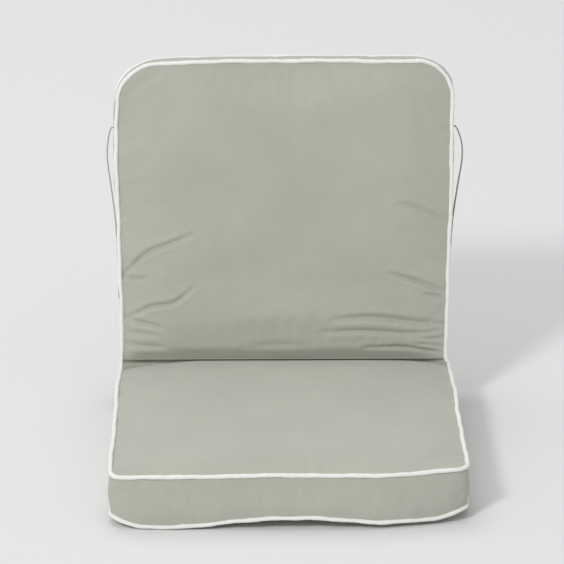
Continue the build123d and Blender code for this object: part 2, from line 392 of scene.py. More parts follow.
MATERIALS = {}


def finish_of(name):
    makers = {
        "canvas": lambda: canvas("acrylic_canvas_sage_grey", True),
        "canvas_gusset": lambda: canvas("acrylic_canvas_gusset", False),
        "piping": piping_cloth,
        "cord": lambda: plain_textile("braided_polyester_cord", "#E4E1D8", 1.2 * MM),
        "foam": lambda: plain_textile("open_cell_polyurethane_foam", "#E3DDC6", 1.5 * MM, depth=0.001),
        "wadding": lambda: plain_textile("bonded_polyester_fibre", "#F2F2F0", 4 * MM, relief=0.6),
        "label": lambda: plain_textile("woven_satin_label", "#F4F4F2", 0.8 * MM, roughness=0.5, relief=0.15),
        "nickel": nickel,
        "zip_tape": zip_tape,
    }
    if name not in MATERIALS:
        MATERIALS[name] = makers[name]()
    return MATERIALS[name]


def dress(obj, name):
    obj.data.materials.clear()
    obj.data.materials.append(finish_of(name))


# ---------------------------------------------------------------- cushion bodies
def steps(end, fine, coarse, fine_to):
    """Places along an edge, closer together near its start."""
    near = np.linspace(0, fine_to, max(2, round(fine_to / fine) + 1))
    far = np.linspace(fine_to, end, max(2, round((end - fine_to) / coarse) + 1))[1:]
    return np.concatenate([near, far])


def round_corner(u, v, half_w, length, radius):
    """Squeeze a square grid's free corners into quarter circles."""
    a = np.clip((np.abs(u) - (half_w - radius)) / radius, 0, 1)
    b = np.clip((v - (length - radius)) / radius, 0, 1)
    inside = (a > 0) & (b > 0)
    u2 = np.where(inside, np.sign(u) * (half_w - radius + radius * a * np.sqrt(1 - b * b / 2)), u)
    v2 = np.where(inside, length - radius + radius * b * np.sqrt(1 - a * a / 2), v)
    return u2, v2


LIP = 0.2 * MM           # the sitting panels meet in the fold seam
GUSSET = 4.9 * MM        # covers stop just behind the zip tapes at the fold end
SEAM_IN = 3.2 * MM       # seams lie this far inside the piping's outer side


def cushion_shell(half, across, along, deep):
    """Closed grid of one half's cover: two panels and the band between them, with its flat cut as UVs.
    Returns the object with the flat pattern of each vertex kept in an attribute."""
    hw, top_v = HALF_W - SEAM_IN, half.length - SEAM_IN
    us = np.linspace(-hw, hw, across + 1)
    vs = GUSSET + steps(top_v - GUSSET, *along)
    rows = len(vs)
    grid_u, grid_v = np.meshgrid(us, vs)
    flat_u, flat_v = round_corner(grid_u, grid_v, hw, top_v, half.corner - SEAM_IN)
    index, verts, kind = {}, [], []

    def add(key, u, v, w, where):
        index[key] = len(verts)
        verts.append((u, v, w))
        kind.append(where)

    for level, w in ((0, -SEAM_IN), (deep, -THICK + SEAM_IN)):
        for j in range(rows):
            for i in range(across + 1):
                reach = 1 - ramp(flat_v[j, i] - GUSSET, 0, 45 * MM) if level == 0 else 0
                v = flat_v[j, i] - (GUSSET - LIP) * reach
                add((level, j, i), flat_u[j, i], v, w, float(level > 0))
    ring = [(0, i) for i in range(across)] + [(j, across) for j in range(rows - 1)]
    ring += [(rows - 1, i) for i in range(across, 0, -1)] + [(j, 0) for j in range(rows - 1, 0, -1)]
    for k in range(1, deep):
        w = -SEAM_IN - (THICK - 2 * SEAM_IN) * k / deep
        for j, i in ring:
            add((k, j, i), flat_u[j, i], flat_v[j, i], w, k / deep)
    faces, uvs = [], []
    for level in (0, deep):
        for j in range(rows - 1):
            for i in range(across):
                keys = [(level, j, i), (level, j, i + 1), (level, j + 1, i + 1), (level, j + 1, i)]
                faces.append([index[k] for k in keys])
                uvs += [(grid_u[j2, i2], grid_v[j2, i2]) for _, j2, i2 in keys]
    arc = [0.0]
    loop = ring + ring[:1]
    for (j, i), (j2, i2) in zip(loop, loop[1:]):
        arc.append(arc[-1] + math.hypot(flat_u[j2, i2] - flat_u[j, i], flat_v[j2, i2] - flat_v[j, i]))
    depth = THICK / deep
    for k in range(deep):
        near_edge, far_edge = k * depth, (k + 1) * depth
        for n, ((j, i), (j2, i2)) in enumerate(zip(loop, loop[1:])):
            faces.append([index[(k, j, i)], index[(k, j2, i2)], index[(k + 1, j2, i2)], index[(k + 1, j, i)]])
            uvs += [(arc[n], near_edge), (arc[n + 1], near_edge), (arc[n + 1], far_edge), (arc[n], far_edge)]
    verts = np.array(verts)
    obj = new_object(f"{half.name}_cover", verts, faces)
    layer = obj.data.uv_layers.new(name="cut")
    layer.data.foreach_set("uv", np.array(uvs, float).ravel())
    seam = obj.vertex_groups.new(name="seam")
    held = [index[(level, j, i)] for level in (0, deep) for j, i in ring]
    seam.add(held, 1.0, "REPLACE")
    gusset = obj.vertex_groups.new(name="gusset")
    fold_end = [at for (k, j, i), at in index.items() if j == 0 or (k == 0 and j < 4)]
    gusset.add(fold_end, 1.0, "REPLACE")
    sharp = obj.data.attributes.new("crease_edge", "FLOAT", "EDGE")
    seam_set = set(held)
    sharp.data.foreach_set("value", [float(all(v in seam_set for v in e.vertices)) for e in obj.data.edges])
    for name, value in (("flat_u", verts[:, 0]), ("flat_v", verts[:, 1]), ("face", np.array(kind))):
        attribute = obj.data.attributes.new(name, "FLOAT", "POINT")
        attribute.data.foreach_set("value", value.astype(np.float32))
    return obj


def attribute(obj, name):
    values = np.empty(len(obj.data.vertices), np.float32)
    obj.data.attributes[name].data.foreach_get("value", values)
    return values.astype(float)


def foam_crown(cut, half, face, crown, belly, side, turn):
    """Foam fills the cover: each panel rises fast from its seams and then stays nearly flat."""
    u, v = cut[:, 0], cut[:, 1]
    hw, top_v = HALF_W - SEAM_IN, half.length - SEAM_IN
    to_side = np.clip(1 - np.abs(u) / hw, 0, 1)
    to_top = np.clip((top_v - v) / top_v, 0, 1)
    panel, under = face < 0.001, face > 0.999
    to_fold = np.clip(v - np.where(panel, LIP, GUSSET), 0, None) / top_v

    def swell(x, reach):
        return 1 - np.exp(-x / reach)

    rise = swell(to_side, 0.16) * swell(to_top, 0.10)
    dome = 0.75 + 0.25 * (1 - (u / hw) ** 2) * (1 - ((v / top_v - 0.5) * 1.6) ** 2)
    out = cut.copy()
    quarter = np.sqrt(1 - (1 - np.clip(to_fold * top_v / turn, 0, 1)) ** 2)
    roll = 0.85 * quarter + 0.15 * swell(to_fold, 0.09)
    out[panel, 2] += (crown * rise * dome * roll)[panel]
    out[under, 2] -= (belly * rise * dome * swell(to_fold, 0.10))[under]
    band = ~panel & ~under
    round_out = side * np.sin(math.pi * face) ** 0.8
    edge_v = (np.abs(v - top_v) < half.corner) | (np.abs(np.abs(u) - hw) < 1e-4)
    lean_u = np.where(np.abs(u) > hw - half.corner, np.sign(u), 0)
    lean_v = np.where(v > top_v - half.corner, 1.0, 0)
    lean = np.stack([lean_u, lean_v], 1)
    size = np.linalg.norm(lean, axis=1, keepdims=True)
    lean = lean / np.maximum(size, 1)
    push = (round_out * swell(to_fold, 0.04))[:, None] * lean
    out[band & edge_v, :2] += push[band & edge_v]
    return out


CLOTH_EASE = 0.006       # the cloth may grow by this share of its length
CLOTH_PRESSURE = 4.0
CLOTH_FRAMES = 20


def inflate(obj, cap):
    """Blow the cover up against its pinned seams and keep the move within a cap."""
    before = coords(obj)
    both = obj.vertex_groups.new(name="pins")
    for group in (obj.vertex_groups["seam"], obj.vertex_groups["gusset"]):
        members = [v.index for v in obj.data.vertices if any(g.group == group.index for g in v.groups)]
        both.add(members, 1.0, "REPLACE")
    cloth = obj.modifiers.new("Cloth", "CLOTH")
    settings = cloth.settings
    settings.quality = 6
    settings.mass = 0.3
    settings.tension_stiffness = settings.compression_stiffness = 25
    settings.shear_stiffness = 12
    settings.bending_stiffness = 0.6
    settings.use_pressure = True
    settings.uniform_pressure_force = CLOTH_PRESSURE
    settings.vertex_group_mass = "pins"
    settings.shrink_min = -CLOTH_EASE
    settings.effector_weights.gravity = 0
    cloth.collision_settings.use_collision = False
    scene = bpy.context.scene
    cloth.point_cache.frame_end = CLOTH_FRAMES
    for step in range(1, CLOTH_FRAMES + 1):
        scene.frame_set(step)
    activate(obj)
    bpy.ops.object.modifier_apply(modifier=cloth.name)
    after = coords(obj)
    move = after - before
    size = np.linalg.norm(move, axis=1, keepdims=True)
    set_coords(obj, before + move * np.minimum(1, cap / np.maximum(size, 1e-9)))
    scene.frame_set(1)


def stroke_field(u, v, stroke):
    """Depth of one crease at each point: a sharp valley with a soft ridge along both sides."""
    points, width, depth = stroke
    best = np.full(len(u), 9.0)
    along = np.zeros(len(u))
    below = np.zeros(len(u))
    pts = smooth_line(np.array(points) * MM, 6 * len(points))
    lengths = np.linalg.norm(np.diff(pts, axis=0), axis=1)
    total, passed = lengths.sum(), 0.0
    for p, q, size in zip(pts, pts[1:], lengths):
        d = (q - p) / size
        t = np.clip((u - p[0]) * d[0] + (v - p[1]) * d[1], 0, size)
        du, dv = u - (p[0] + t * d[0]), v - (p[1] + t * d[1])
        gap = np.hypot(du, dv)
        near = gap < best
        best[near], along[near] = gap[near], ((passed + t) / total)[near]
        below[near] = (-dv)[near]
        passed += size
    width *= MM
    fade = np.sin(math.pi * np.clip(along, 0, 1) * 0.86 + 0.22) ** 0.8
    valley = np.exp(-((best / width) ** 2))
    ridge = 0.22 * np.exp(-(((best - 2.2 * width) / (1.3 * width)) ** 2))
    return depth * MM * fade * (ridge - valley)


# Creases across the back, as points (across, above the fold), width and depth in millimetres.
BACK_CREASES = [
    (((-243, 128), (-228, 142), (-204, 162), (-175, 173), (-136, 188)), 3.4, 3.6),
    (((-244, 126), (-230, 123), (-208, 123)), 3.0, 2.4),
    (((-240, 66), (-219, 74), (-199, 83), (-166, 88), (-138, 108)), 3.2, 3.4),
    (((-243, 68), (-230, 62), (-208, 57), (-186, 52)), 3.0, 2.8),
    (((-238, 46), (-214, 44), (-192, 40)), 2.8, 2.0),
    (((-240, 32), (-210, 27), (-184, 24)), 3.2, 2.8),
    (((166, 231), (188, 229), (212, 221), (243, 204)), 3.2, 2.6),
    (((158, 129), (190, 121), (216, 112), (240, 101)), 3.3, 3.8),
    (((212, 98), (228, 96), (244, 92)), 2.8, 2.6),
    (((76, 62), (120, 65), (160, 63), (205, 57), (243, 54)), 4.2, 4.0),
    (((54, 43), (120, 45), (195, 41), (240, 45)), 3.6, 2.6),
    (((203, 36), (222, 33), (243, 36)), 2.8, 2.6),
    (((198, 25), (222, 25), (243, 22)), 2.8, 2.6),
    (((120, 19), (172, 20), (210, 17), (240, 15)), 3.4, 3.4),
    (((-60, 20), (-10, 24), (40, 22)), 5.5, 1.6),
]
BACK_SWELLS = [
    (((-180, 112), (-120, 124), (-40, 140), (40, 158)), 26, 2.2),
    (((-60, 96), (20, 104), (110, 112), (170, 116)), 24, 2.0),
    (((-110, 66), (0, 70), (90, 74)), 22, -1.6),
    (((-150, 240), (-40, 262), (60, 300)), 45, 1.4),
    (((30, 214), (110, 226), (190, 240)), 30, 1.2),
]
SEAT_CREASES = [
    (((-235, 470), (-215, 452), (-190, 440)), 4.0, 1.0),
    (((228, 466), (210, 450), (180, 444)), 4.5, 1.2),
    (((-200, 9), (-150, 12), (-60, 12), (60, 11), (170, 9), (215, 8)), 5.0, 1.2),
]
SEAT_SWELLS = [
    (((-150, 330), (-20, 300), (120, 320)), 60, 1.2),
    (((-180, 120), (0, 90), (160, 130)), 50, 1.4),
]


def crease(obj, creases, swells, seed):
    """Press the wrinkles into the sitting face, and pucker every seam a little."""
    u, v, face = (attribute(obj, name) for name in ("flat_u", "flat_v", "face"))
    sitting = 1 - ramp(face, 0, 0.12)
    lift = np.zeros(len(u))
    for stroke in creases + swells:
        lift += stroke_field(u, v, stroke)
    rng = np.random.default_rng(seed)
    puckers = np.zeros(len(u))
    span = HALF_W - SEAM_IN
    to_side = span - np.abs(u)
    for _ in range(90):
        sign, at = rng.choice((-1, 1)), rng.uniform(20 * MM, v.max() - 40 * MM)
        reach, wide, size = rng.uniform(10, 34) * MM, rng.uniform(3.5, 7) * MM, rng.uniform(0.15, 0.6) * MM
        slant = rng.uniform(-0.4, 0.4)
        centre = at + slant * to_side
        puckers -= size * (np.sign(u) == sign) * np.exp(-to_side / reach) * bump(v, centre, wide)
    return lift * sitting + puckers * (0.4 + 0.6 * sitting)


def finish_cushion(obj, half, creases, swells, seed, depth):
    """Subdivide, crease and put the cushion in its place on the object."""
    levels = 2 if half is BACK else 1
    apply_modifier(obj, "SUBSURF", levels=levels, render_levels=levels, boundary_smooth="PRESERVE_CORNERS")
    lift = crease(obj, creases, swells, seed)
    set_coords(obj, coords(obj) + normals(obj) * depth * lift[:, None])
    set_coords(obj, half.place(half.warp(coords(obj))))
    if half is SEAT:
        settle_on_floor(obj)
    outward(obj, merge=True)
    obj.data.shade_smooth()


def settle_on_floor(obj):
    """The underside is flat where it rests and nothing goes below the floor."""
    co = coords(obj)
    floor = 0.4 * MM
    low = co[:, 2] < floor
    co[low, 2] = floor
    set_coords(obj, co)


def bend_zone(obj):
    """Bake a piece's placement into its mesh."""
    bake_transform(obj)


def make_filling(cover, half, name):
    """Foam core with its fibre wrap, just inside the cover and a little further from the fold."""
    filling = cover.copy()
    filling.data = cover.data.copy()
    filling.name = filling.data.name = name
    bpy.context.scene.collection.objects.link(filling)
    apply_modifier(filling, "DECIMATE", ratio=0.12)
    co = coords(filling) - normals(filling) * 4 * MM
    away = np.array(half.away)
    back_off = 8 * MM * (1 - ramp((co - np.array(FOLD)) @ away, 0, 50 * MM))
    set_coords(filling, co + back_off[:, None] * away)
    dress(filling, "foam")
    return filling


SHELL_ACROSS, SHELL_DEEP = 84, 10    # faces across a panel, and down the band between the panels


def make_half(half, along, crown, belly, turn, shape):
    """Cover of one half, creased and filled, with its foam inside."""
    seat = half is SEAT
    creases, swells, seed = (SEAT_CREASES, SEAT_SWELLS, 41) if seat else (BACK_CREASES, BACK_SWELLS, 43)
    cover = cushion_shell(half, SHELL_ACROSS, along, SHELL_DEEP)
    dress(cover, "canvas")
    outward(cover)
    face = attribute(cover, "face")
    set_coords(cover, foam_crown(coords(cover), half, face, crown, belly, shape.side_bulge, turn))
    inflate(cover, shape.puff)
    finish_cushion(cover, half, creases, swells, seed, shape.crease_depth)
    filling = make_filling(cover, half, f"{half.name}_filling")
    above, below = ("top", "bottom") if seat else ("front", "rear")
    panels = ("top_panel", "bottom_panel") if seat else ("front_panel", "rear_panel")
    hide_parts(*(f"{half.name}_{piece}" for piece in panels + ("boxing",)))
    inner = ("foam_core", f"{above}_wadding", f"{below}_wadding")
    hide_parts(*(f"{half.name}_{piece}" for piece in inner))
    for piece, fill in ((cover, 0.85), (filling, 0.9)):
        bend_zone(piece)


# ---------------------------------------------------------------- piping
def tube(name, centre, radius, closed, wobble_seed=None, sides=12):
    """Round tube along a line of points, with its own cut (along, around) as UVs."""
    pts = np.array(centre)
    count = len(pts)
    ahead = np.roll(pts, -1, 0) - np.roll(pts, 1, 0)
    if not closed:
        ahead[0], ahead[-1] = pts[1] - pts[0], pts[-1] - pts[-2]
    ahead /= np.linalg.norm(ahead, axis=1, keepdims=True)
    gaps = np.linalg.norm(np.diff(pts, axis=0, append=pts[:1]), axis=1)
    run = np.concatenate([[0], np.cumsum(gaps)])
    size = np.full(count, radius)
    if wobble_seed is not None:
        rng = np.random.default_rng(wobble_seed)
        for period, amount in ((90 * MM, 0.05), (31 * MM, 0.05), (13 * MM, 0.04), (6 * MM, 0.03)):
            turns = max(1, round(run[-1] / period))
            size = size * (1 + amount * np.sin(2 * math.pi * turns * run[:-1] / run[-1] + rng.uniform(0, 6)))
    side_dir = np.cross(ahead, np.array((1.0, 0.02, 0.03)))
    weak = np.linalg.norm(side_dir, axis=1) < 0.3
    side_dir[weak] = np.cross(ahead[weak], np.array((0.02, 0.6, 0.8)))
    side_dir /= np.linalg.norm(side_dir, axis=1, keepdims=True)
    for n in range(1, count):            # carry the ring's start along so that the tube doesn't twist
        carried = side_dir[n - 1] - ahead[n] * (side_dir[n - 1] @ ahead[n])
        side_dir[n] = carried / np.linalg.norm(carried)
    up_dir = np.cross(ahead, side_dir)
    angles = np.linspace(0, 2 * math.pi, sides, endpoint=False)
    cosines, sines = np.cos(angles)[None, :, None], np.sin(angles)[None, :, None]
    ring = cosines * side_dir[:, None, :] + sines * up_dir[:, None, :]
    verts = (pts[:, None, :] + ring * size[:, None, None]).reshape(-1, 3)
    faces, uvs = [], []
    twist = 0
    if closed:
        last = side_dir[-1] - ahead[0] * (side_dir[-1] @ ahead[0])
        angle = math.atan2(last @ up_dir[0], last @ side_dir[0])
        twist = round(angle / (2 * math.pi) * sides)
    girth = 2 * math.pi * radius / sides
    for n in range(count if closed else count - 1):
        m = (n + 1) % count
        shift = -twist if (closed and m == 0) else 0
        here, there = n * sides, m * sides
        for k in range(sides):
            k2 = (k + 1) % sides
            faces.append([here + k, here + k2, there + (k2 - shift) % sides, there + (k - shift) % sides])
            low, high = k * girth, (k + 1) * girth
            uvs += [(run[n], low), (run[n], high), (run[n + 1], high), (run[n + 1], low)]
    if not closed:
        faces.append(list(range(sides)))
        faces.append([(count - 1) * sides + k for k in range(sides)])
        uvs += [(0, 0)] * (2 * sides)
    obj = new_object(name, verts, faces)
    layer = obj.data.uv_layers.new(name="cut")
    layer.data.foreach_set("uv", np.array(uvs, float).ravel())
    outward(obj)
    return obj


def rounded_run(corners, radii, step, closed):
    """Points along straight runs joined by tangent arcs, in the flat pattern."""
    pts = [np.array(p, float) for p in corners]
    count, out = len(pts), []
    for n, (p, r) in enumerate(zip(pts, radii)):
        if (n in (0, count - 1) and not closed) or r == 0:
            out.append(p)
            continue
        before, after = pts[n - 1] - p, pts[(n + 1) % count] - p
        before, after = before / np.linalg.norm(before), after / np.linalg.norm(after)
        half_angle = math.acos(np.clip(before @ after, -1, 1)) / 2
        back_off = r / math.tan(half_angle)
        middle = (before + after) / np.linalg.norm(before + after) * r / math.sin(half_angle) + p
        a, b = p + before * back_off - middle, p + after * back_off - middle
        turns = max(4, round(r * (math.pi - 2 * half_angle) / step))
        sweep = math.acos(np.clip(a @ b / r / r, -1, 1))
        for k in range(turns + 1):
            t = k / turns
            out.append(middle + (a * math.sin((1 - t) * sweep) + b * math.sin(t * sweep)) / math.sin(sweep))
    fine = []
    for p, q in zip(out, out[1:] + (out[:1] if closed else [])):
        parts = max(1, round(np.linalg.norm(q - p) / step))
        fine += [p + (q - p) * k / parts for k in range(parts)]
    if not closed:
        fine.append(out[-1])
    return np.array(fine)


def wander(points, seed, amount):
    """Sewn piping is never quite straight: a slow, even wander across its run."""
    rng = np.random.default_rng(seed)
    run = np.concatenate([[0], np.cumsum(np.linalg.norm(np.diff(points, axis=0), axis=1))])
    moved = points.copy()
    for axis in (0, 1, 2):
        for period, share in ((140 * MM, 0.5), (58 * MM, 0.35), (24 * MM, 0.15)):
            turns = max(1, round(run[-1] / period))
            phase = 2 * math.pi * turns * run / run[-1] + rng.uniform(0, 6.28)
            moved[:, axis] += amount * share * np.sin(phase)
    return moved


PIPE_STEP = 3.0 * MM
PIPE_IN = 2.6 * MM       # bead centre inside the outer side
CORD_SHARE = 0.62        # the bare cord's radius, as a share of the covered bead's


def side_line(half, depth, near, closed):
    """Piping's centre along one half's edge, up one side and down the other, closed along the fold or not."""
    hw, far = HALF_W - PIPE_IN, half.length - PIPE_IN
    r = half.corner - PIPE_IN
    fold_r = 16 * MM if closed else 0
    corners = [(-hw, near), (-hw, far), (hw, far), (hw, near)]
    flat = rounded_run(corners, [fold_r, r, r, fold_r], PIPE_STEP, closed)
    return np.column_stack([flat, np.full(len(flat), depth)])


def front_piping_line(amount):
    """One bead round the sitting faces: up one side of the seat, over the back and down again."""
    near = 9 * MM
    depth = -PIPE_IN
    seat = SEAT.place(SEAT.warp(wander(side_line(SEAT, depth, near, False), 3, amount)))
    back = BACK.place(BACK.warp(wander(side_line(BACK, depth, near, False), 5, amount)))
    # seat runs left-rear, front, right-rear; back is turned round to run right-low, top, left-low
    back = back[::-1]
    joins = []
    for a, b, a_in, b_in in ((seat[-1], back[0], seat[-1] - seat[-2], back[0] - back[1]),
                             (back[-1], seat[0], back[-1] - back[-2], seat[0] - seat[1])):
        a_in, b_in = a_in / np.linalg.norm(a_in), b_in / np.linalg.norm(b_in)
        reach = 7 * MM
        c1, c2 = a + a_in * reach, b + b_in * reach
        ts = np.linspace(0, 1, 9)[1:-1, None]
        start_half = (1 - ts) ** 3 * a + 3 * (1 - ts) ** 2 * ts * c1
        joins.append(start_half + 3 * (1 - ts) * ts ** 2 * c2 + ts ** 3 * b)
    return np.concatenate([seat, joins[0], back, joins[1]])


def piped_run(name, line, seed, nodes, body=None):
    """One run of covered cord. A run with no body of its own keeps its placement baked into its mesh."""
    sleeve = tube(name, line, BEAD, True, seed)
    cord = tube(f"{name}_cord", line, BEAD * CORD_SHARE, True)
    dress(sleeve, "piping")
    dress(cord, "cord")
    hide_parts(*nodes)
    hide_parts(*(f"{node_name}_cord" for node_name in nodes))
    for piece in (sleeve, cord):
        if body:
            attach(piece, body)
        else:
            bend_zone(piece)


def make_piping(amount):
    """The front run past the fold, and a closed run round each half's far panel."""
    piped_run("front_piping", front_piping_line(amount), 11, ("seat_top_piping", "back_front_piping"))
    for half, name, seed in ((SEAT, "seat_bottom_piping", 21), (BACK, "back_rear_piping", 27)):
        line = wander(side_line(half, -THICK + PIPE_IN, 4 * MM, True), seed, amount)
        line = half.place(half.warp(line))
        if half is SEAT:
            line[:, 2] = np.maximum(line[:, 2], BEAD + 0.1 * MM)
        piped_run(name, line, seed, (name,), half.body)


# ---------------------------------------------------------------- ties, seam, zips
TIE_WIDE = 12 * MM
TIE_HALF_THICK = 1.0 * MM
TIE_BELOW_TOP = 105 * MM             # upper end, down from the back's top edge
TIE_DEPTH = THICK - 12.5 * MM        # middle of the strip, behind the front face
TIE_BOW = {-1: 10 * MM, 1: 13.5 * MM}    # how far the left and right ties stand out
TIE_STEPS = 6


def make_tie(side, name, seed):
    """Folded and edge-stitched strip of the cover cloth, sewn into the rear side seam."""
    start_v = BACK_LENGTH - TIE_BELOW_TOP
    hw = HALF_W - 3 * MM
    bows = TIE_BOW[side]
    knots = [(hw, start_v), (hw + 7 * MM, start_v - 1 * MM), (HALF_W + bows * 0.88, start_v - 22 * MM),
             (HALF_W + bows, start_v - 48 * MM), (HALF_W + bows * 0.62, start_v - 88 * MM),
             (HALF_W + bows * 0.26, start_v - 135 * MM), (HALF_W + 1.6 * MM, start_v - 185 * MM),
             (HALF_W + 1.2 * MM, start_v - 225 * MM), (HALF_W + 1.4 * MM, start_v - 254 * MM)]
    line = smooth_line(np.array(knots), 90)
    ahead = np.gradient(line, axis=0)
    ahead /= np.linalg.norm(ahead, axis=1, keepdims=True)
    flat_out = np.column_stack([ahead[:, 1], -ahead[:, 0]])
    verts, faces = [], []
    count = len(line)
    for n in range(count):
        share = n / (count - 1)
        turn = 0.12 * share * math.sin(3.0 * share + seed)
        for layer in (-1, 1):
            for k in range(TIE_STEPS + 1):
                off = (k / TIE_STEPS - 0.5) * TIE_WIDE
                edge = 1 - abs(2 * k / TIE_STEPS - 1) ** 6 * 0.2
                sidewise = flat_out[n] * (layer * TIE_HALF_THICK * edge) + flat_out[n] * off * math.sin(turn)
                u = side * (line[n][0] + sidewise[0])
                v = line[n][1] + sidewise[1]
                w = -TIE_DEPTH + off * math.cos(turn)
                verts.append((u, v, w))
    outer = TIE_STEPS + 1            # the outer layer's points follow the inner layer's in each row
    row = 2 * outer
    for n in range(count - 1):
        a, b = n * row, (n + 1) * row
        for k in range(TIE_STEPS):
            faces.append([a + k, a + k + 1, b + k + 1, b + k])
            faces.append([a + outer + k, b + outer + k, b + outer + k + 1, a + outer + k + 1])
        for k in (0, TIE_STEPS):
            faces.append([a + k, b + k, b + k + outer, a + k + outer])
    for a in (0, (count - 1) * row):
        for k in range(TIE_STEPS):
            faces.append([a + k, a + k + 1, a + k + outer + 1, a + k + outer])
    obj = new_object(f"back_{name}_tie_cloth", BACK.place(BACK.warp(np.array(verts))), faces)
    outward(obj)
    layer = obj.data.uv_layers.new(name="cut")
    for poly in obj.data.polygons:
        for loop in poly.loop_indices:
            index = obj.data.loops[loop].vertex_index
            n, k = divmod(index, row)
            layer.data[loop].uv = (n * 3 * MM, (k % outer) * 2 * MM)
    dress(obj, "canvas")
    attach(obj, "back")
    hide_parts(f"back_{name}_tie")


def smooth_line(knots, count):
    """Even points on a Catmull-Rom curve through the knots."""
    padded = np.vstack([2 * knots[0] - knots[1], knots, 2 * knots[-1] - knots[-2]])
    out = []
    spans = len(knots) - 1
    for s in np.linspace(0, spans - 1e-9, count):
        n = int(s)
        t = s - n
        p0, p1, p2, p3 = padded[n:n + 4]
        square, cube = 2 * p0 - 5 * p1 + 4 * p2 - p3, 3 * p1 - p0 - 3 * p2 + p3
        out.append(0.5 * (2 * p1 + (p2 - p0) * t + square * t * t + cube * t ** 3))
    return np.array(out)


def make_fold_seam():
    """Rolled seam allowance along the fold, just below the line where the two covers meet."""
    reach, below, radius, count = HALF_W - 18 * MM, 3.4 * MM, 1.8 * MM, 160
    us = np.linspace(-reach, reach, count)
    line = SEAT.place(SEAT.warp(np.column_stack([us, np.zeros(count), np.full(count, -below)])))
    roll = tube("fold_seam_roll", line, radius, False, 31, sides=8)
    dress(roll, "canvas")
    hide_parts("fold_seam")
    bend_zone(roll)


def dress_cad():
    """Give each CAD piece that still shows the finish of its material slot."""
    finishes = {"cover_cloth": "canvas_gusset", "zip_tape": "zip_tape", "zip_metal": "nickel",
                "label_tape": "label", "wadding": "wadding", "foam": "foam", "filler_cord": "cord",
                "piping_cloth": "piping"}
    slots = {s["node"]: s["material_slot"] for s in frame["record"]["subparts"]}
    for name, obj in frame["nodes"].items():
        if obj.hide_render:
            continue
        finish = finish_of(finishes[slots[name]])
        for s in obj.material_slots:
            s.material = finish


# ---------------------------------------------------------------- stage
def make_floor(grey):
    """Sheet of seamless paper, flat under the cushion and curved up behind it."""
    reach, bend_at, bend, height, turns = 9.0, 4.5, 2.0, 9.0, 16
    profile = [(-reach, 0.0), (bend_at, 0.0)]
    for k in range(1, turns + 1):
        a = math.pi / 2 * k / turns
        profile.append((bend_at + bend * math.sin(a), bend - bend * math.cos(a)))
    profile.append((bend_at + bend, height))
    verts = [(x, y, z) for y, z in profile for x in (-reach, reach)]
    faces = [[2 * k, 2 * k + 1, 2 * k + 3, 2 * k + 2] for k in range(len(profile) - 1)]
    floor = new_object("stage_floor", verts, faces)
    paper, _, shader = material("seamless_paper")
    level = f"{round(grey * 255):02X}"
    set_shader(shader, Base_Color=linear("#" + 3 * level), Roughness=0.95, Specular_IOR_Level=0.1)
    floor.data.materials.append(paper)


def make_softbox(name, place, aim, size, power):
    lamp = bpy.data.lights.new(name, "AREA")
    lamp.shape = "DISK"
    lamp.size = size
    lamp.energy = power
    obj = bpy.data.objects.new(name, lamp)
    bpy.context.scene.collection.objects.link(obj)
    obj.location = place
    obj.rotation_euler = (Vector(aim) - Vector(place)).to_track_quat("-Z", "Y").to_euler()


def make_stage(look):
    """Floor, two soft lights, the room's even light and the camera."""
    scene = bpy.context.scene
    make_floor(look.floor_grey)
    make_softbox("key_softbox", (-3.9, -6.0, 5.7), (1.2, 0.4, 0.1), 1.7, look.key_power)
    make_softbox("top_softbox", (-0.8, 2.6, 5.2), (0, 1.2, 0), 4.5, look.top_power)
    world = bpy.data.worlds.new("studio")
    world.use_nodes = True
    world.node_tree.nodes["Background"].inputs[0].default_value = (1, 1, 1, 1)
    world.node_tree.nodes["Background"].inputs[1].default_value = look.ambient
    scene.world = world
    scene.view_settings.view_transform = "Standard"

    cam_data = bpy.data.cameras.new("camera")
    cam = bpy.data.objects.new("camera", cam_data)
    scene.collection.objects.link(cam)
    aim = Vector(look.aim)
    a, e = look.azimuth, look.elevation
    back = Vector((math.sin(a) * math.cos(e), -math.cos(a) * math.cos(e), math.sin(e)))
    cam.location = aim + back * look.distance
    cam.rotation_mode = "QUATERNION"
    cam.rotation_quaternion = (-back).to_track_quat("-Z", "Y")
    cam_data.lens = look.lens
    cam_data.clip_end = 60
    scene.camera = cam


# ---------------------------------------------------------------- add-on
class CushionShape(bpy.types.PropertyGroup):
    """How full and how worn the cushion is."""

    seat_crown: FloatProperty(name="Seat crown", description="Rise of the seat's top panel at its middle",
                              default=0.010, min=0, max=0.03, subtype="DISTANCE", unit="LENGTH")
    back_crown: FloatProperty(name="Back crown", description="Rise of the back's front panel at its middle",
                              default=0.015, min=0, max=0.03, subtype="DISTANCE", unit="LENGTH")
    side_bulge: FloatProperty(name="Side bulge", description="How far the bands between the panels stand out",
                              default=0.003, min=0, max=0.01, subtype="DISTANCE", unit="LENGTH")
    puff: FloatProperty(name="Puff", description="Furthest move that the filling's pressure gives the cloth",
                        default=0.005, min=0, max=0.02, subtype="DISTANCE", unit="LENGTH")
    crease_depth: FloatProperty(name="Crease depth", description="Depth of the creases, 1 for the usual",
                                default=1.3, min=0, max=2, subtype="FACTOR")
    piping_wander: FloatProperty(name="Piping wander", description="How far the piping strays from its line",
                                 default=0.0009, min=0, max=0.005, subtype="DISTANCE", unit="LENGTH")


